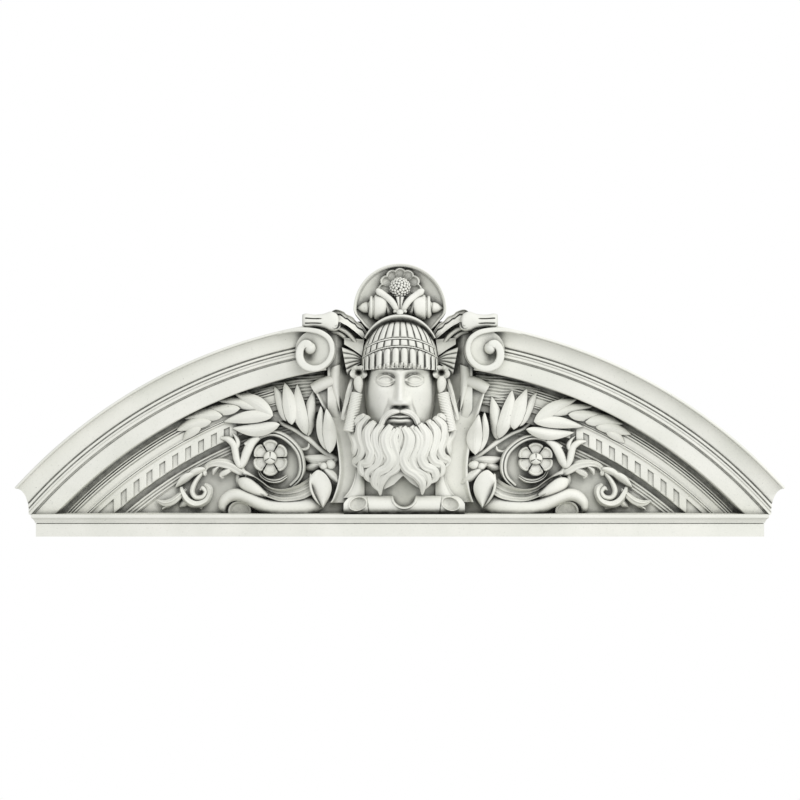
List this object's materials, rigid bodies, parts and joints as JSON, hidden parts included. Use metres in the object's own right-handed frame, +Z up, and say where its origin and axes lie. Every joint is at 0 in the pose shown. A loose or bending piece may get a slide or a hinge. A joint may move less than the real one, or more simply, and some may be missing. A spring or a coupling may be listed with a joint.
{
  "type": "classical pediment",
  "caption": "Segmental wall pediment cast in one piece, with a bearded mask, volutes, laurel branches, rosettes and dentils under a moulded arch.",
  "frame": {"origin": "on the flat back, on the centre line, 180 mm above the underside, level with the two hanging holes", "axes": "+X to the right seen from the front, +Z up, +Y into the wall; the carved front faces -Y"},
  "size_m": [1, 0.1002, 0.357],
  "materials": {
    "cast_stone": "matte stone-filled resin, off-white, with a thin grey wash left in the recesses"
  },
  "bodies": {
    "root": {"pediment": "cast_stone"}
  },
  "joints": []
}
